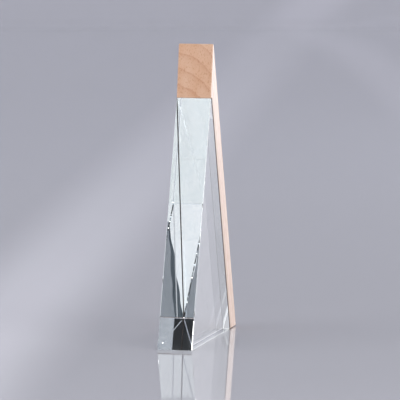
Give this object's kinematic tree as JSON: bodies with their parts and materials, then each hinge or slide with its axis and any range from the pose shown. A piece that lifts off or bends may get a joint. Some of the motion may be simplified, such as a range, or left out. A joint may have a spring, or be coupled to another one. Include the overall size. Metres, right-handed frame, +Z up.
{
  "type": "crystal award",
  "caption": "Tall peak-shaped award: a clear bevelled crystal wedge with a silvered rear face, bonded to a pale wooden bar that runs up the rear slope to a point.",
  "frame": {"origin": "centre of the footprint, on the table plane", "axes": "+Z up; the crystal's sloping front faces -Y and the wooden bar's rear slope faces +Y; the broad triangular sides face -X and +X"},
  "size_m": [0.025, 0.133, 0.21],
  "materials": {
    "optical_crystal": "clear, flat and polished, with fine polished bevels",
    "silver_mirror": "bright silvering behind the crystal, painted on its rear",
    "brown_adhesive": "dark set adhesive",
    "lacquered_beech": "pale close-grained wood under satin lacquer"
  },
  "bodies": {
    "root": {"crystal_body": "optical_crystal", "mirror_coat": "silver_mirror", "bond_layer": "brown_adhesive", "wood_bar": "lacquered_beech"}
  },
  "joints": []
}
